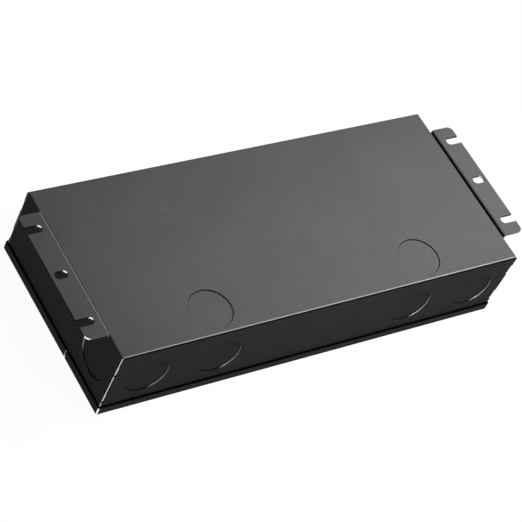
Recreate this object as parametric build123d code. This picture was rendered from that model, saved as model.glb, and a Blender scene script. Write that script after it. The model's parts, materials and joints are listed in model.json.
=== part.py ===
from build123d import *
from math import cos, radians
import os

os.makedirs("parts", exist_ok=True)

# The frame: the driver lies on its covers with the back plate up.
# The origin is the centre of the footprint, at the covers' lower face.
# X runs along the housing, the wiring compartment is at -Y, and Z is up.

# Housing: one folded steel tray, open below
housing_length = 232.0
housing_width = 98.3
housing_height = 42.5
housing_sheet = 0.8
housing_bend = 0.2
lip_width = 12.0
mitre_gap = 0.6
corner_seam = 0.15
finger_height = 6.1
finger_drop_shares = (0.158, 0.635)
finger_recess = 0.35
finger_relief = 0.9

# Knock-outs for half-inch conduit fittings, half sheared into the box
knock_out_radius = 11.1
knock_out_depth = 0.5
plate_knock_out_x = 61.5
plate_knock_out_inset = 14.15
front_knock_out_x = (56.8, 96.4)
front_knock_out_height = 22.2
end_knock_out_inset = 15.75
end_knock_out_height = 23.2

# Mounting ears: one bracket on the outside of each end wall
ear_width = 71.5
ear_reach = 12.3
ear_sheet = 1.0
ear_bend = 0.2
ear_rise = 1.4
ear_leg = 8.4
ear_leg_clip = 5.9
ear_corner = 3.0
ear_slot_width = 4.3
ear_slot_pitch = 26.8
ear_open_slot_depth = 8.5
ear_closed_slot_length = 7.0
ear_closed_slot_inset = 5.1
weld_radius = 2.2
weld_depth = 0.2
weld_pitch = 18.0
weld_height = 3.0

# Covers: two shallow trays whose flanges stand outside the walls
cover_sheet = 0.5
cover_gap = 0.3
cover_flange = 5.1
cover_corner = 0.8
cover_seam_y = -16.5
cover_seam_gap = 1.0

# Cover screws, sunk in pressed seats so that the covers lie flat
seat_depth = 1.9
seat_margin = 0.9
seat_slope = 0.9
cover_screw_head = 3.1
cover_screw_head_height = 1.5
cover_screw_shank = 1.7
cover_screw_length = 7.0
cover_screw_inset = 16.0
lip_screw_inset = 6.2
screw_recess_share = 0.2
screw_clearance = 0.2
thread_clearance = 0.05
collar_wall = 0.9
collar_height = 1.4

# Divider between the wiring compartment and the driver compartment
divider_sheet = 0.8
divider_bend = 0.5
divider_setback = 11.5
divider_flange = 8.0
divider_end_gap = 0.7
divider_lip_gap = 0.5
divider_tab = 24.0
divider_rim = 2.0
window_clearance = 0.4

# Circuit board and what carries it
board_sheet = 1.6
board_standoff = 5.0
board_end_gap = 6.0
board_front_gap = 1.0
board_rear_gap = 1.0
board_corner = 1.5
board_hole_end_inset = 6.0
board_hole_front_inset = 12.5
board_hole_rear_inset = 6.0
board_hole_clearance = 0.2
standoff_flats = 5.5
board_screw_shank = 1.5
board_screw_head = 2.8
board_screw_head_height = 1.8
board_screw_length = 6.0
film_sheet = 0.3
film_gap = 1.0

# Heat spreaders, pads and power packages
spreader_sheet = 3.0
spreader_height = 24.0
output_spreader_length = 40.0
gap_pad_sheet = 1.0
gap_pad_margin = 2.0
spreader_end_margin = 1.5
rectifier_inset = 12.0
package_gap = 3.0
insulator_sheet = 0.3
insulator_margin = 1.0
package_width = 10.0
package_body_height = 9.0
package_tab_height = 6.5
package_thickness = 4.4
package_tab = 1.3
package_hole = 1.8
package_hole_drop = 3.0
package_lead = 4.0
package_lead_width = 0.8
package_lead_pitch = 2.54
lead_overlap = 1.0
bridge_width = 22.0
bridge_height = 17.0
bridge_thickness = 3.6
bridge_corner = 2.9
bridge_lead_pitch = 5.0
power_screw_shank = 1.5
power_screw_head = 2.7
power_screw_head_height = 1.8
power_screw_length = 4.5
bridge_screw_length = 6.5

# Terminal blocks, push-in, entered from the wiring compartment
input_poles = 3
output_poles = 2
dimming_poles = 2
power_pitch = 7.5
dimming_pitch = 5.0
terminal_depth = 16.0
terminal_height = 14.0
terminal_proud = 3.0
terminal_wall = 1.2
terminal_entry = 1.7
terminal_entry_height = 4.6
terminal_bore_depth = 10.0
terminal_slot_width = 2.6
terminal_slot_height = 1.6
terminal_slot_centre = 10.4
contact_sheet = 0.5
contact_length = 7.0
contact_width = 2.7

# Round and boxed components
lead_radius = 0.4
film_capacitor = (18.0, 9.0, 15.0)
film_capacitor_round = 0.8
disc_lead_pitch = 7.5
varistor_radius = 7.5
varistor_thickness = 4.5
thermistor_radius = 6.0
thermistor_thickness = 4.0
safety_capacitor_radius = 4.0
safety_capacitor_thickness = 3.2
disc_round = 1.2
disc_stand = 3.0
safety_lead_pitch = 4.0
fuse_radius = 2.6
fuse_cap_radius = 2.9
fuse_length = 20.0
fuse_cap_length = 5.0
clip_sheet = 0.5
clip_gap = 0.1
clip_width = 4.0
clip_stand = 2.0
clip_opening = 1.2
bulk_capacitor_radius = 9.0
bulk_capacitor_headroom = 1.0
bulk_capacitor_to_spreader = 7.0
output_capacitor_radius = 6.25
output_capacitor_height = 20.0
can_groove = 0.5
can_groove_height = 2.5
can_round = 0.8
resistor_radius = 2.0
resistor_length = 11.0
resistor_stand = 3.0

# Wound parts
choke_outer = 9.5
choke_inner = 5.0
choke_height = 9.0
choke_wire = 1.4
choke_wire_gap = 0.2
choke_winding_arc = 125.0
choke_base_sheet = 1.5
choke_base_margin = 0.5
core_gap = 0.3
bobbin_wall = 0.8
bobbin_rail_depth = 2.5
bobbin_rail_height = 3.0
bobbin_rail_share = 0.8
winding_gap = 0.1
winding_margin = 0.6
inductor_core = (25.0, 18.0, 20.0)
inductor_post = 5.6
inductor_window = 4.9
transformer_core = (30.0, 20.0, 22.0)
transformer_post = 6.4
transformer_window = 6.0
core_back = 3.2
output_choke_radius = 8.0
output_choke_height = 14.0
output_choke_core = 3.5
output_choke_flange = 2.0

# Control card and small packages
card_length = 36.0
card_height = 20.0
card_sheet = 1.2
card_chip = (9.9, 3.9, 1.6)
card_chip_spacing = 11.0
coupler_body = (4.6, 6.4, 3.4)

# Ground screw on the divider
ground_head_flats = 8.0
ground_head_height = 2.4
ground_slot = 1.0
ground_washer_radius = 5.0
ground_washer_sheet = 0.8
ground_shank = 1.9
ground_length = 6.0
ground_end_distance = 12.0
ground_height = 22.0

# Worked out from the sizes above
housing_floor = cover_sheet + seat_depth
outer_bend = housing_bend + housing_sheet
end_face = housing_length / 2
front_face = -housing_width / 2
rear_face = housing_width / 2
inner_end = end_face - housing_sheet
inner_rear = rear_face - housing_sheet
plate_underside = housing_height - housing_sheet
divider_front = cover_seam_y + divider_setback
divider_rear = divider_front + divider_sheet
divider_flange_depth = 2 * divider_setback
lip_screw_y = rear_face - lip_screw_inset
wiring_edge_screw_y = cover_seam_y - divider_setback / 2 - cover_seam_gap / 2
driver_edge_screw_y = cover_seam_y + divider_setback / 2 + cover_seam_gap / 2
corner_screw_x = end_face - cover_screw_inset
board_top = plate_underside - board_standoff
board_face = board_top - board_sheet
board_half = inner_end - board_end_gap
board_front = divider_rear + board_front_gap
board_rear = inner_rear - board_rear_gap
spreader_back = inner_rear - gap_pad_sheet
spreader_front = spreader_back - spreader_sheet
ground_screw_x = ground_end_distance - inner_end

bulk_capacitor_height = board_face - seat_depth - cover_screw_length - bulk_capacitor_headroom

# Places on the board: a share of its half length, and a distance from its front or rear edge
fuse_from_front = 19.1
varistor_from_front = 14.5
thermistor_from_front = 12.0
line_capacitor_from_front = 29.0
filter_capacitor_from_front = 26.0
safety_capacitors_from_end = (13.2, 22.9)
safety_capacitors_from_rear = 5.0
link_capacitor_from_front = 6.0
inductor_from_rear = 21.5
bulk_capacitor_from_edge = 13.0
transformer_from_rear = 22.5
resistors_from_front = (2.5, 7.4)
couplers_from_front = 6.0
card_from_front = 18.0
output_parts_from_rear = 17.0

input_terminal_x = -0.72 * board_half
dimming_terminal_x = 0.505 * board_half
output_terminal_x = 0.77 * board_half
fuse_place = (-0.86 * board_half, board_front + fuse_from_front)
varistor_place = (-0.59 * board_half, board_front + varistor_from_front)
thermistor_place = (-0.46 * board_half, board_front + thermistor_from_front)
line_capacitor_place = (-0.89 * board_half, board_front + line_capacitor_from_front)
filter_capacitor_place = (-0.46 * board_half, board_front + filter_capacitor_from_front)
safety_y = board_rear - safety_capacitors_from_rear
safety_capacitor_places = [(inset - board_half, safety_y) for inset in safety_capacitors_from_end]
choke_place = (-0.63 * board_half, 0.37 * board_front + 0.63 * board_rear)
inductor_place = (-0.26 * board_half, board_rear - inductor_from_rear)
link_capacitor_place = (-0.26 * board_half, board_front + link_capacitor_from_front)
bulk_capacitor_x = 0.035 * board_half
bulk_capacitor_ys = (board_front + bulk_capacitor_from_edge, board_rear - bulk_capacitor_from_edge)
bulk_capacitor_places = [(bulk_capacitor_x, y) for y in bulk_capacitor_ys]
transformer_place = (0.285 * board_half, board_rear - transformer_from_rear)
resistor_places = [(0.2 * board_half, board_front + inset) for inset in resistors_from_front]
coupler_places = [(share * board_half, board_front + couplers_from_front) for share in (0.32, 0.39)]
card_place = (0.7 * board_half, board_front + card_from_front)
output_choke_place = (0.57 * board_half, board_rear - output_parts_from_rear)
output_capacitor_y = board_rear - output_parts_from_rear
output_capacitor_places = [(share * board_half, output_capacitor_y) for share in (0.735, 0.89)]

# Spreaders, and the packages side by side on them
input_spreader_length = 2 * spreader_end_margin + bridge_width + 2 * (package_gap + package_width)
input_spreader_x = bulk_capacitor_x - bulk_capacitor_to_spreader - input_spreader_length / 2
bridge_x = input_spreader_x - input_spreader_length / 2 + spreader_end_margin + bridge_width / 2
switch_x = bridge_x + bridge_width / 2 + package_gap + package_width / 2
boost_diode_x = switch_x + package_width + package_gap
output_spreader_x = 0.33 * board_half
rectifier_reach = output_spreader_length / 2 - rectifier_inset
rectifier_xs = (output_spreader_x - rectifier_reach, output_spreader_x + rectifier_reach)


def block(length, width, height):
    """A box standing on its own floor, centred in plan."""
    return Box(length, width, height, align=(Align.CENTER, Align.CENTER, Align.MIN))


def post(radius, height):
    """A cylinder standing on its own floor."""
    return Cylinder(radius, height, align=(Align.CENTER, Align.CENTER, Align.MIN))


def folded_strip(points, radius, sheet, side):
    """Section of a folded strip: one face follows the points, the sheet lies on the given side."""
    face_line = FilletPolyline(*points, radius=radius)
    return make_face(offset(face_line, amount=sheet, side=side).edges())


def on_board(shape, place, turn=0.0):
    """Hang a component, drawn standing up, from the board's component side.

    What faces +Y in the drawing faces the wiring compartment once it hangs.
    """
    return Pos(place[0], place[1], board_face) * Rot(180, 0, turn) * shape


def write(node, shape):
    """Write one node as one STEP file."""
    shape.label = node
    export_step(shape, f"parts/{node}.step")


# Housing

def rounded_block(length, width, height, radius):
    """A block whose eight level edges are rounded, as the bends leave them."""
    body = block(length, width, height)
    return fillet(body.edges().filter_by(Axis.Z, reverse=True), radius)


def knock_out(radius, depth, sheet):
    """The ring to cut and the disc to add for a knock-out in a sheet that lies below z = 0."""
    pocket = Pos(0, 0, -depth) * post(radius, depth)
    disc = Pos(0, 0, -depth - sheet) * post(radius, sheet)
    return pocket, disc


def knock_out_frames():
    """Outside faces of the knock-outs, each with z pointing out of the box."""
    frames = []
    for x in (-plate_knock_out_x, plate_knock_out_x):
        frames.append(Pos(x, front_face + plate_knock_out_inset, housing_height))
    for x in front_knock_out_x:
        for sign in (-1, 1):
            frames.append(Pos(sign * x, front_face, front_knock_out_height) * Rot(90, 0, 0))
    for sign in (-1, 1):
        y = front_face + end_knock_out_inset
        frames.append(Pos(sign * end_face, y, end_knock_out_height) * Rot(0, sign * 90, 0))
    return frames


def cover_screw_rows(wiring_y, driver_y):
    """One row of screws of each cover, as (wiring cover, driver cover)."""
    wiring = [(x, wiring_y) for x in (-corner_screw_x, corner_screw_x)]
    driver = [(x, driver_y) for x in (-corner_screw_x, 0.0, corner_screw_x)]
    return wiring, driver


def lip_screws():
    """Screws that enter the tray's lips."""
    return cover_screw_rows(-lip_screw_y, lip_screw_y)


def divider_screws():
    """Screws that enter the divider's flange."""
    return cover_screw_rows(wiring_edge_screw_y, driver_edge_screw_y)


def tapped_collar(sheet):
    """Extruded collar of a tapped hole, standing on the inner side of a sheet."""
    return Pos(0, 0, sheet) * post(cover_screw_shank + collar_wall, collar_height)


def tapped_bore(sheet):
    """Bore through a sheet and its collar."""
    height = sheet + collar_height
    return post(cover_screw_shank + thread_clearance, height)


def corner_finger(top):
    """One finger of the end wall and the notch it enters, at the corner of +X and +Y."""
    reach = housing_sheet + corner_seam
    slack = corner_seam + finger_relief
    notch = block(2 * reach, 2 * housing_sheet, finger_height + slack)
    notch = Pos(end_face, rear_face, top - finger_height - finger_relief) * notch
    width = reach - finger_recess
    finger = block(housing_sheet, width, finger_height)
    finger_y = inner_rear - corner_seam + width / 2
    finger = Pos(inner_end + housing_sheet / 2, finger_y, top - finger_height) * finger
    return notch, finger


def corner_cuts():
    """Seam, notches and mitre at the corner of +X and +Y, and the fingers that fill the notches."""
    seam_height = housing_height - outer_bend - housing_floor
    seam = block(2 * housing_sheet, corner_seam, seam_height)
    cuts = Pos(end_face, inner_rear - corner_seam / 2, housing_floor) * seam
    mitre = block(3 * lip_width, mitre_gap, outer_bend + housing_sheet)
    cuts += Pos(end_face, rear_face, housing_floor) * Rot(0, 0, 45) * mitre
    fingers = []
    for share in finger_drop_shares:
        notch, finger = corner_finger(housing_height * (1 - share))
        cuts += notch
        fingers.append(finger)
    return cuts, fingers


def housing_tray():
    """Back plate, four folded walls with lips, knock-outs and finger-jointed corners."""
    height = housing_height - housing_floor
    skin = rounded_block(housing_length, housing_width, height, outer_bend)
    room = rounded_block(
        housing_length - 2 * housing_sheet,
        housing_width - 2 * housing_sheet,
        height - 2 * housing_sheet,
        housing_bend,
    )
    tray = Pos(0, 0, housing_floor) * (skin - Pos(0, 0, housing_sheet) * room)
    mouth = block(housing_length - 2 * lip_width, housing_width - 2 * lip_width, 2 * outer_bend)
    tray -= Pos(0, 0, housing_floor - outer_bend) * mouth
    cuts, fingers = corner_cuts()
    flip_x = Plane.YZ
    flip_y = Plane.XZ
    for piece in (cuts, mirror(cuts, flip_x), mirror(cuts, flip_y), mirror(mirror(cuts, flip_x), flip_y)):
        tray -= piece
    for finger in fingers:
        tray += finger
        tray += mirror(finger, flip_x)
        tray += mirror(finger, flip_y)
        tray += mirror(mirror(finger, flip_x), flip_y)
    for frame in knock_out_frames():
        pocket, disc = knock_out(knock_out_radius, knock_out_depth, housing_sheet)
        tray = tray - frame * pocket + frame * disc
    for x, y in sum(lip_screws(), []):
        tray += Pos(x, y, housing_floor) * tapped_collar(housing_sheet)
        tray -= Pos(x, y, housing_floor) * tapped_bore(housing_sheet)
    return tray


# Mounting ears

def ear_slots():
    """Cutter of the two open slots and the closed slot, for the ear at +X, in plan."""
    tip = end_face + ear_reach
    height = 4 * ear_sheet
    radius = ear_slot_width / 2
    round_end = tip - ear_open_slot_depth + radius
    cutter = None
    for y in (-ear_slot_pitch, ear_slot_pitch):
        length = tip - round_end
        slot = Pos(round_end + length, y, 0) * block(2 * length, ear_slot_width, height)
        slot += Pos(round_end, y, 0) * post(radius, height)
        cutter = slot if cutter is None else cutter + slot
    closed = extrude(SlotOverall(ear_closed_slot_length, ear_slot_width), height)
    return cutter + Pos(tip - ear_closed_slot_inset, 0, 0) * closed


def mounting_ear():
    """The bracket at +X: a slotted ear, a bend and a clipped leg on the end wall."""
    top = housing_height + ear_rise
    low = top - ear_leg
    underside = top - ear_sheet
    outer = end_face + ear_sheet
    points = [(outer, low), (outer, underside), (end_face + ear_reach, underside)]
    section = folded_strip(points, ear_bend, ear_sheet, Side.LEFT)
    strip = extrude(Plane.XZ * section, ear_width / 2, both=True)
    tip_edges = strip.edges().filter_by(Axis.Z).group_by(Axis.X)[-1]
    strip = fillet(tip_edges, ear_corner)
    strip -= Pos(0, 0, underside - ear_sheet) * ear_slots()
    leg_edges = strip.edges().filter_by(Axis.X).group_by(Axis.Z)[0].group_by(Axis.Y)
    strip = chamfer(leg_edges[0] + leg_edges[-1], ear_leg_clip)
    for y in (-weld_pitch, 0.0, weld_pitch):
        dent = Rot(0, 90, 0) * post(weld_radius, weld_depth)
        strip -= Pos(outer - weld_depth, y, low + weld_height) * dent
    return strip


# Covers

def bent_edges(box, open_y):
    """Floor edges and corner edges of a box, without those on its side at open_y."""
    closed = box.edges().filter_by(lambda edge: abs(edge.center().Y - open_y) > cover_sheet)
    return closed.filter_by(Axis.Z) + closed.group_by(Axis.Z)[0]


def cover_tray(low_y, high_y, open_y):
    """Shallow tray between two Y values with flanges on three sides, open at open_y."""
    reach = end_face + cover_gap + cover_sheet
    middle = (low_y + high_y) / 2
    skin = Pos(0, middle, 0) * block(2 * reach, high_y - low_y, cover_flange)
    skin = fillet(bent_edges(skin, open_y), cover_corner)
    depth = high_y - low_y - cover_sheet
    shift = cover_sheet / 2 if open_y == high_y else -cover_sheet / 2
    room = block(2 * (reach - cover_sheet), depth, cover_flange)
    room = Pos(0, middle + shift, cover_sheet) * room
    return skin - fillet(bent_edges(room, open_y), cover_corner - cover_sheet)


def pressed_seats(cover, places):
    """Press a conical seat with a screw hole into a cover at each place."""
    flat = cover_screw_head + seat_margin
    mouth = flat + seat_slope
    on_floor = (Align.CENTER, Align.CENTER, Align.MIN)
    for x, y in places:
        boss = Cone(mouth + cover_sheet, flat + cover_sheet, seat_depth, align=on_floor)
        cover += Pos(x, y, cover_sheet) * boss
    for x, y in places:
        well = Cone(mouth, flat, seat_depth, align=on_floor)
        cover -= Pos(x, y, 0) * well
        hole = post(cover_screw_shank + screw_clearance, housing_floor)
        cover -= Pos(x, y, 0) * hole
    return cover


def wiring_cover():
    """Cover of the wiring compartment."""
    low_y = front_face - cover_gap - cover_sheet
    high_y = cover_seam_y - cover_seam_gap / 2
    return pressed_seats(cover_tray(low_y, high_y, high_y), lip_screws()[0] + divider_screws()[0])


def driver_cover():
    """Cover of the driver compartment."""
    low_y = cover_seam_y + cover_seam_gap / 2
    high_y = rear_face + cover_gap + cover_sheet
    return pressed_seats(cover_tray(low_y, high_y, low_y), lip_screws()[1] + divider_screws()[1])


def pan_screw(shank, length, head, head_height):
    """Pan-head screw with its seat at z = 0, the shank up and a cross recess in the head."""
    screw = post(shank, length)
    cap = Pos(0, 0, -head_height) * post(head, head_height)
    cap = fillet(cap.edges().group_by(Axis.Z)[0], head_height / 2)
    recess = Pos(0, 0, -head_height) * block(head, head * screw_recess_share, head_height / 2)
    return screw + cap - recess - Rot(0, 0, 90) * recess


def cover_screws(places):
    """The screws of one cover."""
    screw = pan_screw(cover_screw_shank, cover_screw_length, cover_screw_head, cover_screw_head_height)
    return Compound([Pos(x, y, seat_depth) * screw for x, y in places])


# Divider and what hangs on it

def terminal_blocks():
    """The three terminal blocks, each as (x, poles, pitch)."""
    return (
        (input_terminal_x, input_poles, power_pitch),
        (dimming_terminal_x, dimming_poles, dimming_pitch),
        (output_terminal_x, output_poles, power_pitch),
    )


def terminal_width(poles, pitch):
    """Width of a terminal block."""
    return poles * pitch + 2 * terminal_wall


def divider_section():
    """Z-shaped section: screw flange below, wall, welding flange above."""
    foot = divider_front - divider_flange_depth
    head = divider_rear + divider_flange
    face = plate_underside - divider_sheet
    points = [(foot, housing_floor), (divider_rear, housing_floor), (divider_rear, face), (head, face)]
    return folded_strip(points, [divider_bend + divider_sheet, divider_bend], divider_sheet, Side.LEFT)


def compartment_divider():
    """Folded wall with terminal windows, notched round the end lips."""
    reach = inner_end - divider_end_gap
    wall = extrude(Plane.YZ * divider_section(), reach, both=True)
    lip_end = end_face - lip_width - divider_lip_gap
    lip_top = housing_floor + housing_sheet + divider_lip_gap
    for sign in (-1, 1):
        notch = block(2 * lip_width, 3 * divider_flange_depth, 2 * lip_top)
        wall -= Pos(sign * (lip_end + lip_width), divider_front, -lip_top) * notch
    relief_depth = divider_setback - divider_rim
    relief = block(2 * corner_screw_x - divider_tab, 2 * relief_depth, 2 * lip_top)
    wall -= Pos(0, divider_front - divider_flange_depth, 0) * relief
    tall = terminal_height + 2 * window_clearance
    for x, poles, pitch in terminal_blocks():
        window = block(terminal_width(poles, pitch) + 2 * window_clearance, 4 * divider_sheet, tall)
        wall -= Pos(x, divider_front, board_face - terminal_height - window_clearance) * window
    for x, y in sum(divider_screws(), []):
        wall += Pos(x, y, housing_floor) * tapped_collar(divider_sheet)
        wall -= Pos(x, y, housing_floor) * tapped_bore(divider_sheet)
    bore = Rot(90, 0, 0) * post(ground_shank + thread_clearance, 4 * divider_sheet)
    return wall - Pos(ground_screw_x, divider_front + 2 * divider_sheet, ground_height) * bore


def ground_screw():
    """Hexagon-head screw with its washer face, on the front of the divider."""
    head = extrude(RegularPolygon(ground_head_flats / 2, 6, major_radius=False), ground_head_height)
    slot = Pos(0, 0, ground_head_height / 2) * block(2 * ground_head_flats, ground_slot, ground_head_height)
    head = Pos(0, 0, ground_washer_sheet) * (head - slot)
    screw = head + post(ground_washer_radius, ground_washer_sheet)
    screw += Pos(0, 0, -ground_length) * post(ground_shank, ground_length)
    return Pos(ground_screw_x, divider_front, ground_height) * Rot(90, 0, 0) * screw


# Board, standoffs and insulating film

def board_hole_places():
    """Centres of the board's mounting holes."""
    x = board_half - board_hole_end_inset
    rows = (board_front + board_hole_front_inset, board_rear - board_hole_rear_inset)
    return [(sign * x, y) for sign in (-1, 1) for y in rows]


def circuit_board():
    """The bare board with its mounting holes."""
    depth = board_rear - board_front
    board = block(2 * board_half, depth, board_sheet)
    board = fillet(board.edges().filter_by(Axis.Z), board_corner)
    board = Pos(0, (board_front + board_rear) / 2, board_face) * board
    for x, y in board_hole_places():
        hole = post(board_screw_shank + board_hole_clearance, board_sheet)
        board -= Pos(x, y, board_face) * hole
    return board


def standoffs():
    """Hexagonal standoffs clinched to the back plate."""
    pillar = extrude(RegularPolygon(standoff_flats / 2, 6, major_radius=False), board_standoff)
    pillar -= post(board_screw_shank + thread_clearance, board_standoff - film_sheet)
    return Compound([Pos(x, y, board_top) * pillar for x, y in board_hole_places()])


def board_screws():
    """Screws that hold the board to its standoffs."""
    screw = pan_screw(board_screw_shank, board_screw_length, board_screw_head, board_screw_head_height)
    return Compound([Pos(x, y, board_face) * screw for x, y in board_hole_places()])


def insulating_film():
    """Film between the board's solder side and the back plate."""
    low_y = divider_rear + divider_flange + film_gap
    high_y = inner_rear - film_gap
    film = block(2 * board_half, high_y - low_y, film_sheet)
    film = Pos(0, (low_y + high_y) / 2, plate_underside - film_sheet) * film
    opening = standoff_flats / 2 / cos(radians(30)) + board_hole_clearance
    for x, y in board_hole_places():
        film -= Pos(x, y, plate_underside - 2 * film_sheet) * post(opening, 3 * film_sheet)
    return film


# Heat spreaders and power packages

def package_screw_height():
    """Height of a package's screw above the board."""
    return package_lead + package_body_height + package_hole_drop


def bridge_screw_height():
    """Height of the bridge rectifier's screw above the board."""
    return package_lead + bridge_height / 2


def heat_spreader(centre, length, screws):
    """Bar on the board, close to the rear wall, bored for screws given as (x, height)."""
    bar = block(length, spreader_sheet, spreader_height)
    bar = chamfer(bar.edges().group_by(Axis.Z)[-1], spreader_sheet / 8)
    bar = on_board(bar, (centre, (spreader_front + spreader_back) / 2))
    for x, height in screws:
        bore = Rot(-90, 0, 0) * post(power_screw_shank + thread_clearance, spreader_sheet)
        bar -= Pos(x, spreader_front, board_face - height) * bore
    return bar


def gap_pads():
    """Soft pads between the spreaders and the rear wall."""
    pads = []
    spans = ((input_spreader_x, input_spreader_length), (output_spreader_x, output_spreader_length))
    for x, length in spans:
        pad = block(length - 2 * gap_pad_margin, gap_pad_sheet, spreader_height - 2 * gap_pad_margin)
        low = board_face - spreader_height + gap_pad_margin
        pads.append(Pos(x, inner_rear - gap_pad_sheet / 2, low) * pad)
    return Compound(pads)


def tab_package():
    """Three-lead package with a metal tab, its back at y = 0 and its front at +Y."""
    body = Pos(0, package_thickness / 2, package_lead) * block(
        package_width, package_thickness, package_body_height
    )
    body = chamfer(body.edges().group_by(Axis.Y)[-1], package_thickness / 8)
    tab_height = package_body_height + package_tab_height
    tab = Pos(0, package_tab / 2, package_lead) * block(package_width, package_tab, tab_height)
    bore = Rot(-90, 0, 0) * post(package_hole, package_tab)
    tab -= Pos(0, 0, package_screw_height()) * bore
    package = body + tab
    for step in (-1, 0, 1):
        lead = block(package_lead_width, package_lead_width / 2, package_lead + lead_overlap)
        package += Pos(step * package_lead_pitch, package_thickness / 2, 0) * lead
    return package


def bridge_package():
    """Flat four-lead bridge rectifier, its back at y = 0, with one corner cut."""
    body = Pos(0, bridge_thickness / 2, package_lead) * block(
        bridge_width, bridge_thickness, bridge_height
    )
    top_edges = body.edges().filter_by(Axis.Y).group_by(Axis.Z)[-1]
    body = chamfer(top_edges.sort_by(Axis.X)[0], bridge_corner)
    bore = Rot(-90, 0, 0) * post(package_hole, bridge_thickness)
    body -= Pos(0, 0, bridge_screw_height()) * bore
    for step in (-1.5, -0.5, 0.5, 1.5):
        lead = block(package_lead_width, package_lead_width, package_lead + lead_overlap)
        body += Pos(step * bridge_lead_pitch, bridge_thickness / 2, 0) * lead
    return body


def insulator_pad(width, height, screw_height):
    """Thin pad behind a package, its back at y = 0."""
    pad = Pos(0, insulator_sheet / 2, package_lead - insulator_margin) * block(
        width + 2 * insulator_margin, insulator_sheet, height + 2 * insulator_margin
    )
    bore = Rot(-90, 0, 0) * post(package_hole, insulator_sheet)
    return pad - Pos(0, 0, screw_height) * bore


def insulator_pads():
    """All pads on both spreaders."""
    tab_pad = insulator_pad(package_width, package_body_height + package_tab_height, package_screw_height())
    bridge_pad = insulator_pad(bridge_width, bridge_height, bridge_screw_height())
    pads = [on_board(tab_pad, (x, spreader_front)) for x in (switch_x, boost_diode_x) + rectifier_xs]
    pads.append(on_board(bridge_pad, (bridge_x, spreader_front)))
    return Compound(pads)


def on_spreader(package, x):
    """Stand a package on the board with its insulator between it and the spreader."""
    return on_board(package, (x, spreader_front - insulator_sheet))


def power_screws():
    """Screws that clamp the packages to the spreaders."""
    screws = []
    short = pan_screw(power_screw_shank, power_screw_length, power_screw_head, power_screw_head_height)
    seat = spreader_front - insulator_sheet - package_tab
    for x in (switch_x, boost_diode_x) + rectifier_xs:
        place = Pos(x, seat, board_face - package_screw_height())
        screws.append(place * Rot(-90, 0, 0) * short)
    long = pan_screw(power_screw_shank, bridge_screw_length, power_screw_head, power_screw_head_height)
    seat = spreader_front - insulator_sheet - bridge_thickness
    place = Pos(bridge_x, seat, board_face - bridge_screw_height())
    screws.append(place * Rot(-90, 0, 0) * long)
    return Compound(screws)


# Terminal blocks

def pole_places(poles, pitch):
    """X of each pole of a block."""
    return [(index - (poles - 1) / 2) * pitch for index in range(poles)]


def terminal_block(poles, pitch):
    """Push-in block with an entry funnel and a release slot for each pole, facing +Y."""
    body = block(terminal_width(poles, pitch), terminal_depth, terminal_height)
    body = chamfer(body.edges().filter_by(Axis.X).group_by(Axis.Z)[-1], terminal_wall)
    face = terminal_depth / 2
    for x in pole_places(poles, pitch):
        bore = Rot(90, 0, 0) * post(terminal_entry, terminal_bore_depth)
        body -= Pos(x, face, terminal_entry_height) * bore
        mouth = Cone(terminal_entry, terminal_entry + terminal_wall / 2, terminal_wall)
        body -= Pos(x, face - terminal_wall / 2, terminal_entry_height) * Rot(-90, 0, 0) * mouth
        pocket = block(2 * terminal_entry, contact_length, 2 * terminal_entry)
        pocket_y = face - terminal_bore_depth + contact_length / 2
        body -= Pos(x, pocket_y, terminal_entry_height - terminal_entry) * pocket
        slot = block(terminal_slot_width, 2 * terminal_wall, terminal_slot_height)
        body -= Pos(x, face, terminal_slot_centre - terminal_slot_height / 2) * slot
    return body


def terminal_contacts(poles, pitch):
    """One bent contact strip on the floor of each pole's pocket."""
    rise = 2 * terminal_entry - terminal_wall
    points = [(0, 0), (contact_length - contact_sheet, 0), (contact_length - contact_sheet, rise)]
    section = folded_strip(points, contact_sheet / 2, contact_sheet, Side.RIGHT)
    strips = []
    face = terminal_depth / 2
    floor = terminal_entry_height - terminal_entry + contact_sheet
    for x in pole_places(poles, pitch):
        strip = extrude(Plane.YZ * section, contact_width / 2, both=True)
        strip = Rot(0, 0, 180) * strip
        strips.append(Pos(x, face - terminal_bore_depth + contact_length, floor) * strip)
    return strips


def terminal_place(x):
    """Place of a block that stands proud of the divider's front."""
    return (x, divider_front - terminal_proud + terminal_depth / 2)


def all_contacts():
    """The contact strips of the three blocks."""
    strips = []
    for x, poles, pitch in terminal_blocks():
        strips += [on_board(strip, terminal_place(x)) for strip in terminal_contacts(poles, pitch)]
    return Compound(strips)


# Boxed, round and axial components

def boxed_capacitor(size):
    """Moulded film capacitor with rounded edges."""
    length, width, height = size
    body = block(length, width, height)
    sides = body.edges().filter_by(Axis.Z)
    top = body.edges().group_by(Axis.Z)[-1]
    return fillet(sides + top, film_capacitor_round)


def disc_component(radius, thickness, pitch):
    """Coated disc on two leads, its flat faces to +Y and -Y."""
    disc = Rot(90, 0, 0) * Cylinder(radius, thickness)
    disc = fillet(disc.edges().filter_by(GeomType.CIRCLE), disc_round)
    disc = Pos(0, 0, disc_stand + radius) * disc
    for sign in (-1, 1):
        disc += Pos(sign * pitch / 2, 0, 0) * post(lead_radius, disc_stand + radius)
    return disc


def can_capacitor(radius, height):
    """Electrolytic capacitor: a can with a rolled groove and a rounded crown."""
    can = post(radius, height)
    can = fillet(can.edges().group_by(Axis.Z)[-1], can_round)
    ring = post(radius + can_groove, 2 * can_groove) - post(radius - can_groove, 2 * can_groove)
    return can - Pos(0, 0, can_groove_height) * ring


def fuse_axis_height():
    """Height of the fuse's axis above the board."""
    return clip_stand + clip_gap + clip_sheet + fuse_cap_radius


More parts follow.
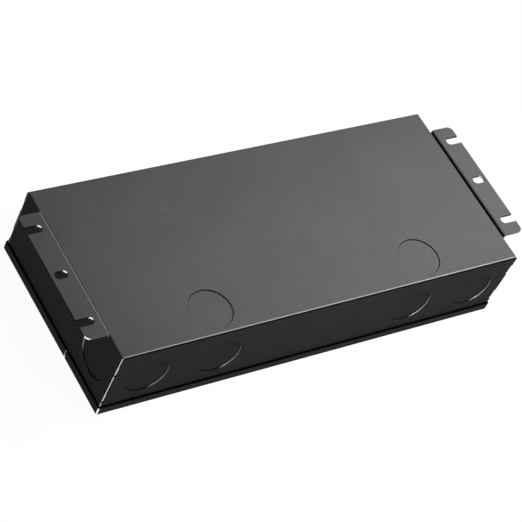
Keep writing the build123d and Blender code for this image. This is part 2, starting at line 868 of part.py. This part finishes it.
def fuse():
    """Tubular fuse with an end cap at each end, along X."""
    tube = Rot(0, 90, 0) * Cylinder(fuse_radius, fuse_length)
    for sign in (-1, 1):
        cap = Rot(0, 90, 0) * Cylinder(fuse_cap_radius, fuse_cap_length)
        tube += Pos(sign * (fuse_length - fuse_cap_length) / 2, 0, 0) * cap
    return Pos(0, 0, fuse_axis_height()) * tube


def fuse_clip():
    """Spring clip round a fuse cap, open at the top, on a foot."""
    inner = fuse_cap_radius + clip_gap
    ring = Circle(inner + clip_sheet) - Circle(inner)
    opening = Pos(0, inner) * Rectangle(2 * inner - clip_opening, 2 * inner)
    clip = extrude(Plane.YZ * (ring - opening), clip_width / 2, both=True)
    foot_height = clip_stand + clip_sheet / 2
    foot = block(clip_width, 2 * clip_stand, foot_height)
    return Pos(0, 0, fuse_axis_height()) * clip + foot


def fuse_clips():
    """The clip at each end of the fuse."""
    x = (fuse_length - fuse_cap_length) / 2
    clips = [Pos(sign * x, 0, 0) * fuse_clip() for sign in (-1, 1)]
    return Compound([on_board(clip, fuse_place) for clip in clips])


def axial_resistor():
    """Power resistor lying along X on two bent leads."""
    height = resistor_stand + resistor_radius
    body = Rot(0, 90, 0) * Cylinder(resistor_radius, resistor_length)
    body = fillet(body.edges().filter_by(GeomType.CIRCLE), resistor_radius / 4)
    span = resistor_length + 2 * resistor_radius
    body += Rot(0, 90, 0) * Cylinder(lead_radius, span)
    body = Pos(0, 0, height) * body
    for sign in (-1, 1):
        body += Pos(sign * (span / 2 - lead_radius), 0, 0) * post(lead_radius, height + lead_radius / 2)
    return body


# Wound components

def choke_core_height():
    """Height of the underside of the toroid above the board."""
    return choke_base_sheet + choke_wire + choke_wire_gap


def choke_core():
    """Toroidal core lying flat over its base."""
    ring = post(choke_outer, choke_height) - post(choke_inner, choke_height)
    return Pos(0, 0, choke_core_height()) * ring


def choke_windings():
    """Two windings wrapped round opposite sides of the toroid."""
    width = choke_outer - choke_inner + 2 * choke_wire_gap
    height = choke_height + 2 * choke_wire_gap
    hole = Rectangle(width, height)
    wrap = RectangleRounded(width + 2 * choke_wire, height + 2 * choke_wire, choke_wire / 2)
    section = Plane.XZ * Pos((choke_outer + choke_inner) / 2, choke_height / 2) * (wrap - hole)
    winding = revolve(section, Axis.Z, revolution_arc=choke_winding_arc)
    coils = []
    for turn in (0, 180):
        coil = Rot(0, 0, turn - choke_winding_arc / 2) * winding
        coils.append(Pos(0, 0, choke_core_height()) * coil)
    return coils


def choke_base():
    """Moulded base under the choke."""
    half = choke_outer + choke_wire_gap + choke_wire + choke_base_margin
    base = block(2 * half, 2 * half, choke_base_sheet)
    return fillet(base.edges().filter_by(Axis.Z), half / 6)


def core_half(size, centre_post, window):
    """Lower half of a ferrite core: a back, a round centre post and two outer legs."""
    length, width, height = size
    half = block(length, width, height / 2)
    depth = height / 2 - core_back
    room = post(centre_post + window, depth) - post(centre_post, depth)
    return half - Pos(0, 0, core_back) * room


def core_halves(size, centre_post, window):
    """Both halves, face to face, above the bobbin's rails."""
    lower = core_half(size, centre_post, window)
    upper = mirror(lower, Plane.XY.offset(size[2] / 2))
    return [Pos(0, 0, bobbin_rail_height) * half for half in (lower, upper)]


def bobbin_span(size):
    """Lowest and highest level of a bobbin's spool above the board."""
    low = bobbin_rail_height + core_back + core_gap
    return low, bobbin_rail_height + size[2] - core_back - core_gap


def bobbin(size, centre_post, window):
    """Flanged spool round the centre post, on two pin rails."""
    low, high = bobbin_span(size)
    bore = centre_post + core_gap
    rim = centre_post + window - core_gap
    spool = Pos(0, 0, low) * post(bore + bobbin_wall, high - low)
    for level in (low, high - bobbin_wall):
        spool += Pos(0, 0, level) * post(rim, bobbin_wall)
    rail_y = size[1] / 2 + core_gap + bobbin_rail_depth / 2
    for sign in (-1, 1):
        rail = block(size[0] * bobbin_rail_share, bobbin_rail_depth, low + bobbin_wall)
        spool += Pos(0, sign * rail_y, 0) * rail
    return spool - Pos(0, 0, low) * post(bore, high - low)


def winding(size, centre_post, window):
    """Wire on a bobbin, as one tube."""
    low, high = bobbin_span(size)
    inner = centre_post + core_gap + bobbin_wall + winding_gap
    outer = centre_post + window - core_gap - winding_margin
    bottom = low + bobbin_wall + winding_gap
    height = high - bobbin_wall - winding_gap - bottom
    return Pos(0, 0, bottom) * (post(outer, height) - post(inner, height))


def drum_core():
    """Drum core of the output choke."""
    drum = post(output_choke_core, output_choke_height)
    for level in (0, output_choke_height - output_choke_flange):
        drum += Pos(0, 0, level) * post(output_choke_radius, output_choke_flange)
    return drum


def drum_winding():
    """Wire round the drum core."""
    height = output_choke_height - 2 * output_choke_flange - 2 * winding_gap
    outer = output_choke_radius - winding_margin
    wire = post(outer, height) - post(output_choke_core + winding_gap, height)
    return Pos(0, 0, output_choke_flange + winding_gap) * wire


# Control card and small packages

def control_card():
    """Card standing on the board, its plain side to -Y."""
    return block(card_length, card_sheet, card_height)


def card_chips():
    """Three flat packages on the card's front."""
    chips = []
    for step in (-1, 0, 1):
        length, height, thickness = card_chip
        chip = block(length, thickness, height)
        chip = chamfer(chip.edges().group_by(Axis.Y)[-1], thickness / 4)
        place = Pos(step * card_chip_spacing, (card_sheet + thickness) / 2, card_height / 2)
        chips.append(place * chip)
    return chips


def optocoupler():
    """Four-lead package standing on its leads."""
    length, width, height = coupler_body
    body = Pos(0, 0, lead_radius) * block(length, width, height)
    body = chamfer(body.edges().group_by(Axis.Z)[-1], height / 8)
    for x in (-length / 4, length / 4):
        for sign in (-1, 1):
            lead = block(lead_radius, 2 * lead_radius, height / 2)
            body += Pos(x, sign * (width / 2 + lead_radius / 2), 0) * lead
    return body


# Housing and covers
ear = mounting_ear()
write("housing_tray", housing_tray())
write("mounting_ear_right", ear)
write("mounting_ear_left", mirror(ear, Plane.YZ))
write("wiring_cover", wiring_cover())
write("driver_cover", driver_cover())
write("wiring_cover_screws", cover_screws(lip_screws()[0] + divider_screws()[0]))
write("driver_cover_screws", cover_screws(lip_screws()[1] + divider_screws()[1]))
write("compartment_divider", compartment_divider())
write("ground_screw", ground_screw())

# Board and its fixings
write("circuit_board", circuit_board())
write("board_standoffs", standoffs())
write("board_screws", board_screws())
write("insulating_film", insulating_film())

# Terminal blocks and line side
names = ("input_terminal_block", "dimming_terminal_block", "output_terminal_block")
for name, (x, poles, pitch) in zip(names, terminal_blocks()):
    write(name, on_board(terminal_block(poles, pitch), terminal_place(x)))
write("fuse", on_board(fuse(), fuse_place))
write("fuse_clips", fuse_clips())
surge_disc = disc_component(varistor_radius, varistor_thickness, disc_lead_pitch)
write("surge_varistor", on_board(surge_disc, varistor_place))
inrush_disc = disc_component(thermistor_radius, thermistor_thickness, disc_lead_pitch)
write("inrush_thermistor", on_board(inrush_disc, thermistor_place))
box_capacitor = boxed_capacitor(film_capacitor)
line_capacitor = on_board(box_capacitor, line_capacitor_place)
filter_capacitor = on_board(box_capacitor, filter_capacitor_place, 90)
write("line_filter_capacitors", Compound([line_capacitor, filter_capacitor]))
safety_disc = disc_component(safety_capacitor_radius, safety_capacitor_thickness, safety_lead_pitch)
write("safety_capacitors", Compound([on_board(safety_disc, place) for place in safety_capacitor_places]))
write("filter_choke_core", on_board(choke_core(), choke_place))
write("filter_choke_windings", Compound([on_board(coil, choke_place) for coil in choke_windings()]))
write("filter_choke_base", on_board(choke_base(), choke_place))

# Power factor stage
bridge_bores = [(bridge_x, bridge_screw_height())]
input_bores = bridge_bores + [(x, package_screw_height()) for x in (switch_x, boost_diode_x)]
write("input_heat_spreader", heat_spreader(input_spreader_x, input_spreader_length, input_bores))
write("bridge_rectifier", on_spreader(bridge_package(), bridge_x))
write("power_switch", on_spreader(tab_package(), switch_x))
write("boost_diode", on_spreader(tab_package(), boost_diode_x))
write("link_capacitor", on_board(box_capacitor, link_capacitor_place))
inductor = (inductor_core, inductor_post, inductor_window)
inductor_halves = core_halves(*inductor)
write("boost_inductor_core", Compound([on_board(half, inductor_place) for half in inductor_halves]))
write("boost_inductor_bobbin", on_board(bobbin(*inductor), inductor_place))
write("boost_inductor_winding", on_board(winding(*inductor), inductor_place))
bulk_can = can_capacitor(bulk_capacitor_radius, bulk_capacitor_height)
write("bulk_capacitors", Compound([on_board(bulk_can, place) for place in bulk_capacitor_places]))

# Output stage
transformer = (transformer_core, transformer_post, transformer_window)
transformer_halves = core_halves(*transformer)
write("transformer_core", Compound([on_board(half, transformer_place) for half in transformer_halves]))
write("transformer_bobbin", on_board(bobbin(*transformer), transformer_place))
write("transformer_windings", on_board(winding(*transformer), transformer_place))
output_bores = [(x, package_screw_height()) for x in rectifier_xs]
write("output_heat_spreader", heat_spreader(output_spreader_x, output_spreader_length, output_bores))
write("output_rectifiers", Compound([on_spreader(tab_package(), x) for x in rectifier_xs]))
write("output_choke_core", on_board(drum_core(), output_choke_place))
write("output_choke_winding", on_board(drum_winding(), output_choke_place))
output_can = can_capacitor(output_capacitor_radius, output_capacitor_height)
write("output_capacitors", Compound([on_board(output_can, place) for place in output_capacitor_places]))
write("snubber_resistors", Compound([on_board(axial_resistor(), place) for place in resistor_places]))
write("optocouplers", Compound([on_board(optocoupler(), place) for place in coupler_places]))
write("control_card", on_board(control_card(), card_place))
write("control_chips", Compound([on_board(chip, card_place) for chip in card_chips()]))

# Shared small parts
write("terminal_contacts", all_contacts())
write("insulator_pads", insulator_pads())
write("power_screws", power_screws())
write("gap_pads", gap_pads())
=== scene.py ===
import bpy
import json
from math import radians
from mathutils import Matrix, Vector


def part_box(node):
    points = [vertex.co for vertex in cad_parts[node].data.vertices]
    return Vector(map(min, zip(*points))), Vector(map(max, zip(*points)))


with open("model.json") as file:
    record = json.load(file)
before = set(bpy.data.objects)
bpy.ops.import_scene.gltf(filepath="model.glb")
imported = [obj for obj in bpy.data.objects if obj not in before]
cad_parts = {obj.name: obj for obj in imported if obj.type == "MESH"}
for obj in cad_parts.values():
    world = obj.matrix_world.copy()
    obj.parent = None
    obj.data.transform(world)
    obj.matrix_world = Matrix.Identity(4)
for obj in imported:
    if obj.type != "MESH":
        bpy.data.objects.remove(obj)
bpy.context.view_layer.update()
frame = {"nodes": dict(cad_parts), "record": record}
nodes = frame["nodes"]

MM = 0.001

# Places on the driver, from the frame
CASE_LEFT, CASE_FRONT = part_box("housing_tray")[0][:2]
CASE_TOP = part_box("housing_tray")[1][2]
COVER_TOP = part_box("wiring_cover")[1][2]
EAR_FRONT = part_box("mounting_ear_left")[0][1]


# Node helpers

NOISE_RANGE = (0.3, 0.7)
NODE_SAMPLES = 8
EVEN = (1.0, 1.0, 1.0)


def new_material(name):
    """A node material and its Principled shader."""
    material = bpy.data.materials.new(name)
    material.use_nodes = True
    return material, material.node_tree, material.node_tree.nodes["Principled BSDF"]


def grey(value):
    """A neutral colour."""
    return (value, value, value)


def object_position(tree):
    """Coordinates in the row frame, in metres."""
    return tree.nodes.new("ShaderNodeTexCoord").outputs["Object"]


def components(tree, vector):
    """X, Y and Z of a vector, by name."""
    node = tree.nodes.new("ShaderNodeSeparateXYZ")
    tree.links.new(vector, node.inputs["Vector"])
    return node.outputs


def calculate(tree, operation, first, second):
    """Arithmetic on two values, each a socket or a number."""
    node = tree.nodes.new("ShaderNodeMath")
    node.operation = operation
    for socket, value in zip(node.inputs, (first, second)):
        if isinstance(value, bpy.types.NodeSocket):
            tree.links.new(value, socket)
        else:
            socket.default_value = value
    return node.outputs["Value"]


def strongest(tree, *masks):
    """The highest of several masks."""
    total = masks[0]
    for mask in masks[1:]:
        total = calculate(tree, "MAXIMUM", total, mask)
    return total


def mixed(tree, factor, colour, level):
    """Blend of a colour with a grey of the given level."""
    node = tree.nodes.new("ShaderNodeMix")
    node.data_type = "RGBA"
    tree.links.new(factor, node.inputs["Factor"])
    tree.links.new(colour, node.inputs["A"])
    node.inputs["B"].default_value = (*grey(level), 1.0)
    return node.outputs["Result"]


def ramp(tree, value, low, high, first, second):
    """Map a value between low and high to a blend of two colours."""
    node = tree.nodes.new("ShaderNodeValToRGB")
    node.color_ramp.elements[0].position = low
    node.color_ramp.elements[1].position = high
    node.color_ramp.elements[0].color = (*first, 1.0)
    node.color_ramp.elements[1].color = (*second, 1.0)
    tree.links.new(value, node.inputs["Fac"])
    return node.outputs["Color"]


def noise(tree, size, detail=2.0, stretch=EVEN):
    """Noise whose cells are about size metres across."""
    mapping = tree.nodes.new("ShaderNodeMapping")
    mapping.inputs["Scale"].default_value = [value / size for value in stretch]
    tree.links.new(object_position(tree), mapping.inputs["Vector"])
    texture = tree.nodes.new("ShaderNodeTexNoise")
    texture.inputs["Scale"].default_value = 1.0
    texture.inputs["Detail"].default_value = detail
    tree.links.new(mapping.outputs["Vector"], texture.inputs["Vector"])
    return texture.outputs["Fac"]


def rounded_normal(tree, radius):
    """Normal softened over the edges, as a coat or a moulding rounds them."""
    node = tree.nodes.new("ShaderNodeBevel")
    node.samples = NODE_SAMPLES
    node.inputs["Radius"].default_value = radius
    return node.outputs["Normal"]


def bump(tree, height, depth, normal):
    """Bump of the given depth in metres, over another normal."""
    node = tree.nodes.new("ShaderNodeBump")
    node.inputs["Strength"].default_value = 1.0
    node.inputs["Distance"].default_value = depth
    tree.links.new(height, node.inputs["Height"])
    tree.links.new(normal, node.inputs["Normal"])
    return node.outputs["Normal"]


# Masks by place and true direction

def facing(tree, direction, low, high, amount=1.0):
    """Mask of the true surfaces that face a direction."""
    surface = tree.nodes.new("ShaderNodeNewGeometry").outputs["Normal"]
    node = tree.nodes.new("ShaderNodeVectorMath")
    node.operation = "DOT_PRODUCT"
    tree.links.new(surface, node.inputs[0])
    node.inputs[1].default_value = direction
    return ramp(tree, node.outputs["Value"], low, high, grey(0.0), grey(amount))


def between(tree, mask, axis, low=None, high=None):
    """The part of a mask above the low plane and below the high one."""
    place = components(tree, object_position(tree))[axis]
    if low is not None:
        mask = calculate(tree, "MULTIPLY", mask, calculate(tree, "GREATER_THAN", place, low))
    if high is not None:
        mask = calculate(tree, "MULTIPLY", mask, calculate(tree, "LESS_THAN", place, high))
    return mask


def band(tree, axis, middle, reach):
    """Mask of the places within reach of a plane."""
    mask = calculate(tree, "COMPARE", components(tree, object_position(tree))[axis], middle)
    mask.node.inputs[2].default_value = reach
    return mask


# Powder coat of the enclosure

COAT_DARK = 0.046
COAT_LIGHT = 0.064
COAT_SPECULAR = 0.02
COAT_ROUGH = (0.47, 0.54)
FLOW_SIZE = 38.0 * MM
SPECKLE_SIZE = 0.55 * MM
SPECKLE_SHARE = 0.7
GLOSS_SIZE = 6.0 * MM
PEEL_SIZE = 0.8 * MM
PEEL_DEPTH = 0.006 * MM
COAT_EDGE_RADIUS = 0.12 * MM

# The 0.8 mm sheet and a little more, and how far the masks of the cuts and the corner reach
SHEET = 0.85 * MM
CUT_REACH = 4.0 * SHEET
CORNER_WIDTH = 2.0 * SHEET

# Painted shade: creases, surfaces turned away from the top, and the seam over the covers are darkened
# nearly to black
SHADE_COLOUR = 0.002
CREASE_REACH = 1.0 * MM
CREASE_RANGE = (0.64, 0.86)
SEAM_RISE = 0.3 * MM
SEAM_REACH = 0.5 * MM
CASE_UPWARD = (-0.15, 0.4, 1.0)
CASE_STEEPNESS = (0.2, 0.8)
EAR_UPWARD = (0.0, 0.0, 1.0)
EAR_STEEPNESS = (0.35, 0.97)

# Painted highlights, made as bright bare steel, on the cut edges and bends that face the front left: how
# strong, how far in, and which way the surfaces face
HIGHLIGHT_COLOUR = 0.98
CUT_HIGHLIGHT = 0.75
FRONT_CUT_HIGHLIGHT = 0.345
FRONT_BEND_HIGHLIGHT = 0.155
EAR_BEND_HIGHLIGHT = 0.138
CORNER_REACH = 0.55 * MM
RIM_REACH = 0.45 * MM
FINGER_START = 0.1 * MM
NOTCH_INSET = 1.0 * MM
NOTCH_REACH = 0.4 * MM
LEFT = (-1.0, 0.0, 0.0)
FRONT = (0.0, -1.0, 0.0)
FRONT_LEFT = (-0.707, -0.707, 0.0)
RIM_SIDE = (-0.95, 0.0, 0.3)
FRONT_BEND = (0.0, -0.3, 0.954)
EAR_BEND = (0.707, 0.0, 0.707)
CUT_RANGE = (0.75, 0.95)
RIM_RANGE = (0.6, 0.8)
FRONT_BEND_RANGE = (0.96, 0.995)
EAR_BEND_RANGE = (0.85, 0.98)


def case_highlights(tree):
    """Painted highlights, made as bare steel, on the cut edges and bends of the case that face the front
    left, without the notches.
    """
    rims = facing(tree, RIM_SIDE, *RIM_RANGE, CUT_HIGHLIGHT)
    rims = between(tree, rims, "Y", high=CASE_FRONT + RIM_REACH)
    front_cuts = facing(tree, LEFT, *RIM_RANGE, CUT_HIGHLIGHT)
    front_cuts = between(tree, front_cuts, "X", high=CASE_LEFT + CUT_REACH)
    front_cuts = between(tree, front_cuts, "Y", high=CASE_FRONT + CORNER_REACH)
    front_cuts = between(tree, strongest(tree, rims, front_cuts), "Z", low=COVER_TOP)
    notches = band(tree, "X", CASE_LEFT + NOTCH_INSET, NOTCH_REACH)
    front_cuts = calculate(tree, "SUBTRACT", front_cuts, notches)
    finger_cuts = facing(tree, FRONT, *CUT_RANGE, CUT_HIGHLIGHT)
    finger_cuts = between(tree, finger_cuts, "X", high=CASE_LEFT + SHEET)
    finger_cuts = between(tree, finger_cuts, "Y", CASE_FRONT + FINGER_START, CASE_FRONT + SHEET)
    finger_cuts = between(tree, finger_cuts, "Z", low=COVER_TOP)
    end_cuts = facing(tree, FRONT, *CUT_RANGE)
    end_cuts = between(tree, end_cuts, "X", high=CASE_LEFT + SHEET)
    end_cuts = between(tree, end_cuts, "Y", low=CASE_FRONT + CORNER_WIDTH)
    corner = facing(tree, FRONT_LEFT, *CUT_RANGE)
    corner = between(tree, corner, "X", high=CASE_LEFT + CORNER_WIDTH)
    front_bend = facing(tree, FRONT_BEND, *FRONT_BEND_RANGE, FRONT_BEND_HIGHLIGHT)
    return strongest(tree, front_cuts, finger_cuts, end_cuts, corner, front_bend)


def ear_highlights(tree):
    """Painted highlights, made as bare steel, on the cut edges of the ears that face the front left, their
    front edge, and the left one's bend.
    """
    cuts = between(tree, facing(tree, FRONT_LEFT, *CUT_RANGE), "Z", low=CASE_TOP)
    front_cut = facing(tree, FRONT, *CUT_RANGE, FRONT_CUT_HIGHLIGHT)
    front_cut = between(tree, front_cut, "Y", high=EAR_FRONT + SHEET)
    bend = facing(tree, EAR_BEND, *EAR_BEND_RANGE, EAR_BEND_HIGHLIGHT)
    return strongest(tree, cuts, front_cut, bend)


def shaded(tree, lowest, upward, steepness):
    """Mask of painted shade: the creases, the surfaces turned away from the top, and the seam over the
    covers.
    """
    node = tree.nodes.new("ShaderNodeAmbientOcclusion")
    node.samples = NODE_SAMPLES
    node.inputs["Distance"].default_value = CREASE_REACH
    creases = ramp(tree, node.outputs["AO"], *CREASE_RANGE, grey(1.0), grey(0.0))
    turned = calculate(tree, "SUBTRACT", 1.0, facing(tree, upward, *steepness))
    turned = between(tree, turned, "Z", low=lowest)
    seam = band(tree, "Z", COVER_TOP + SEAM_RISE, SEAM_REACH)
    return strongest(tree, creases, turned, seam)


def powder_coat(name, highlights, lowest, upward, steepness):
    """Dark grey coat: fine orange peel, slight flow marks, painted shade in the creases, and painted
    highlights on the front-left edges, made as bare steel.
    """
    material, tree, shader = new_material(name)
    tone = tree.nodes.new("ShaderNodeMix")
    tone.inputs["Factor"].default_value = SPECKLE_SHARE
    tree.links.new(noise(tree, FLOW_SIZE, detail=3.0), tone.inputs["A"])
    tree.links.new(noise(tree, SPECKLE_SIZE), tone.inputs["B"])
    colour = ramp(tree, tone.outputs["Result"], *NOISE_RANGE, grey(COAT_DARK), grey(COAT_LIGHT))
    # Painted shade: creases, surfaces turned away from the top and the seam over the covers go towards
    # black
    colour = mixed(tree, shaded(tree, lowest, upward, steepness), colour, SHADE_COLOUR)
    # Painted highlights: bright metallic steel on the front-left edges and bends
    highlight = highlights(tree)
    tree.links.new(mixed(tree, highlight, colour, HIGHLIGHT_COLOUR), shader.inputs["Base Color"])
    tree.links.new(highlight, shader.inputs["Metallic"])
    gloss = noise(tree, GLOSS_SIZE, detail=4.0)
    rough = ramp(tree, gloss, *NOISE_RANGE, *(grey(level) for level in COAT_ROUGH))
    tree.links.new(rough, shader.inputs["Roughness"])
    shader.inputs["Specular IOR Level"].default_value = COAT_SPECULAR
    peel = bump(tree, noise(tree, PEEL_SIZE), PEEL_DEPTH, rounded_normal(tree, COAT_EDGE_RADIUS))
    tree.links.new(peel, shader.inputs["Normal"])
    return material


# Other finishes

PATCH_SIZE = 9.0 * MM
SHEEN_SIZE = 2.5 * MM
ROUGH_SPREAD = 0.08
LOWEST_ROUGH = 0.02
EDGE_RADIUS = 0.15 * MM


def finish_material(name, colour, rough, metallic=0.0, spread=0.12, grain=0.6 * MM, depth=0.01 * MM,
                    stretch=EVEN, coat=0.0):
    """Material with a mottled colour, uneven gloss, fine grain and softened edges."""
    material, tree, shader = new_material(name)
    darker = [max(0.0, channel * (1.0 - spread)) for channel in colour]
    lighter = [min(1.0, channel * (1.0 + spread)) for channel in colour]
    patches = noise(tree, PATCH_SIZE, detail=4.0)
    tree.links.new(ramp(tree, patches, *NOISE_RANGE, darker, lighter), shader.inputs["Base Color"])
    sheen = noise(tree, SHEEN_SIZE, detail=3.0, stretch=stretch)
    glossy = grey(max(LOWEST_ROUGH, rough - ROUGH_SPREAD))
    dull = grey(min(1.0, rough + ROUGH_SPREAD))
    tree.links.new(ramp(tree, sheen, *NOISE_RANGE, glossy, dull), shader.inputs["Roughness"])
    shader.inputs["Metallic"].default_value = metallic
    shader.inputs["Coat Weight"].default_value = coat
    fine = noise(tree, grain, stretch=stretch)
    tree.links.new(bump(tree, fine, depth, rounded_normal(tree, EDGE_RADIUS)), shader.inputs["Normal"])
    return material


FINISHES = {
    "zinc_steel": dict(colour=(0.62, 0.63, 0.66), rough=0.32, metallic=1.0, spread=0.14, grain=0.5 * MM,
                       depth=0.004 * MM),
    "ground_green": dict(colour=(0.03, 0.24, 0.09), rough=0.35, metallic=0.6, spread=0.15),
    "laminate": dict(colour=(0.012, 0.12, 0.045), rough=0.38, spread=0.2, grain=1.2 * MM,
                     depth=0.006 * MM, coat=0.3),
    "film": dict(colour=(0.66, 0.58, 0.4), rough=0.25, spread=0.06, grain=3.0 * MM),
    "terminal_grey": dict(colour=grey(0.42), rough=0.45, spread=0.06),
    "contact_copper": dict(colour=(0.68, 0.5, 0.32), rough=0.3, metallic=1.0),
    "fuse_ceramic": dict(colour=(0.7, 0.68, 0.62), rough=0.25, spread=0.05),
    "disc_blue": dict(colour=(0.02, 0.1, 0.34), rough=0.35, spread=0.1, grain=1.5 * MM,
                      depth=0.03 * MM, coat=0.3),
    "disc_dark": dict(colour=(0.03, 0.05, 0.03), rough=0.4, spread=0.1, grain=1.5 * MM, depth=0.03 * MM),
    "film_yellow": dict(colour=(0.6, 0.4, 0.03), rough=0.3, spread=0.06),
    "ferrite": dict(colour=grey(0.035), rough=0.6, spread=0.25, grain=0.7 * MM, depth=0.02 * MM),
    "coated_core": dict(colour=(0.05, 0.16, 0.09), rough=0.4, spread=0.15, grain=1.2 * MM, depth=0.03 * MM),
    "copper_wire": dict(colour=(0.55, 0.2, 0.06), rough=0.28, metallic=1.0, spread=0.25, grain=0.9 * MM,
                        depth=0.12 * MM),
    "wrap_tape": dict(colour=(0.6, 0.4, 0.03), rough=0.25, grain=5.0 * MM, depth=0.05 * MM,
                      stretch=(0.2, 0.2, 2.0)),
    "bobbin_black": dict(colour=grey(0.02), rough=0.45, spread=0.2),
    "moulding_black": dict(colour=grey(0.018), rough=0.5, spread=0.2, grain=0.4 * MM, depth=0.008 * MM),
    "spreader": dict(colour=(0.7, 0.71, 0.73), rough=0.35, metallic=1.0, spread=0.06, grain=0.5 * MM,
                     stretch=(0.05, 1.0, 1.0)),
    "sleeve_black": dict(colour=(0.015, 0.015, 0.03), rough=0.25, spread=0.15, coat=0.3),
    "pad_grey": dict(colour=grey(0.3), rough=0.7, spread=0.1),
    "pad_white": dict(colour=grey(0.6), rough=0.6, spread=0.06),
    "resistor_green": dict(colour=(0.1, 0.24, 0.2), rough=0.35, coat=0.3),
}

materials = {
    "case_paint": powder_coat("case_paint", case_highlights, CASE_TOP - SHEET, CASE_UPWARD, CASE_STEEPNESS),
    "ear_paint": powder_coat("ear_paint", ear_highlights, CASE_TOP, EAR_UPWARD, EAR_STEEPNESS),
}
for name, finish in FINISHES.items():
    materials[name] = finish_material(name, **finish)

slot_of = {entry["node"]: entry["material_slot"] for entry in frame["record"]["subparts"]}
slot_of["mounting_ear_left"] = slot_of["mounting_ear_right"] = "ear_paint"
for name, node in nodes.items():
    node.data.materials.clear()
    node.data.materials.append(materials[slot_of[name]])


# Stage

FLOOR_SIZE = 8.0
FLOOR_GAP = 0.05 * MM
FLOOR_COLOUR = 0.05
FLOOR_GLOW = 0.965
FLOOR_ROUGH = 0.9

# Name, place, width and height in metres, and power in watts
LAMPS = (
    ("rear_right", (0.5, 0.4, 0.65), 0.35, 0.35, 2.95),
    ("rear", (0.0, 1.2, 0.15), 0.8, 0.3, 0.68),
    ("left", (-1.3, 0.15, 0.35), 0.5, 0.5, 0.227),
    ("low_left", (-0.35, -0.30, 0.06), 0.1, 0.06, 0.145),
    ("over_right", (0.18, -0.035, 0.16), 0.12, 0.03, 0.435),
    ("over_middle", (0.05, -0.035, 0.18), 0.2, 0.03, 0.25),
    ("over_left", (-0.08, -0.035, 0.2), 0.12, 0.03, 0.25),
)


def background_rays(tree):
    """1 for camera, glossy and transmission rays, which see the white background."""
    path = tree.nodes.new("ShaderNodeLightPath")
    kinds = ("Is Camera Ray", "Is Glossy Ray", "Is Transmission Ray")
    return strongest(tree, *(path.outputs[kind] for kind in kinds))


def stage_floor():
    """Pale floor: white as a background, shaded by the driver, and clear from below."""
    bpy.ops.mesh.primitive_plane_add(size=FLOOR_SIZE, location=(0.0, 0.0, -FLOOR_GAP))
    floor = bpy.context.object
    floor.name = "floor"
    material, tree, shader = new_material("floor")
    shader.inputs["Base Color"].default_value = (*grey(FLOOR_COLOUR), 1.0)
    shader.inputs["Roughness"].default_value = FLOOR_ROUGH
    shader.inputs["Specular IOR Level"].default_value = 0.0
    shader.inputs["Emission Color"].default_value = (*grey(FLOOR_GLOW), 1.0)
    tree.links.new(background_rays(tree), shader.inputs["Emission Strength"])
    below = tree.nodes.new("ShaderNodeNewGeometry").outputs["Backfacing"]
    tree.links.new(calculate(tree, "SUBTRACT", 1.0, below), shader.inputs["Alpha"])
    floor.data.materials.append(material)


def sky():
    """White world that only background rays see, so that it gives no diffuse light."""
    world = bpy.data.worlds.new("sky")
    bpy.context.scene.world = world
    world.use_nodes = True
    background = world.node_tree.nodes["Background"]
    background.inputs["Color"].default_value = (*grey(1.0), 1.0)
    world.node_tree.links.new(background_rays(world.node_tree), background.inputs["Strength"])


def softbox(name, place, width, height, power):
    """Area lamp that faces the driver."""
    data = bpy.data.lights.new(name, "AREA")
    data.shape = "RECTANGLE"
    data.size = width
    data.size_y = height
    data.energy = power
    lamp = bpy.data.objects.new(name, data)
    bpy.context.scene.collection.objects.link(lamp)
    lamp.location = place
    lamp.rotation_euler = Vector(place).to_track_quat("Z", "Y").to_euler()


stage_floor()
sky()
for lamp in LAMPS:
    softbox(*lamp)


# Camera at the photograph's angle

CAMERA_PLACE = Vector((-0.55366, -0.43860, 0.73785))
CAMERA_AIM = Vector((0.00988, 0.00948, 0.0))
CAMERA_ROLL = radians(28.59)
CAMERA_LENS = 142.41
CAMERA_SENSOR = 36.0
CAMERA_CLIP_END = 20.0

camera_data = bpy.data.cameras.new("camera")
camera_data.sensor_width = CAMERA_SENSOR
camera_data.lens = CAMERA_LENS
camera_data.clip_end = CAMERA_CLIP_END
camera = bpy.data.objects.new("camera", camera_data)
bpy.context.scene.collection.objects.link(camera)
level_view = (CAMERA_PLACE - CAMERA_AIM).to_track_quat("Z", "Y").to_matrix().to_4x4()
camera.matrix_world = Matrix.Translation(CAMERA_PLACE) @ level_view @ Matrix.Rotation(CAMERA_ROLL, 4, "Z")
bpy.context.scene.camera = camera
bpy.context.scene.view_settings.view_transform = "Standard"
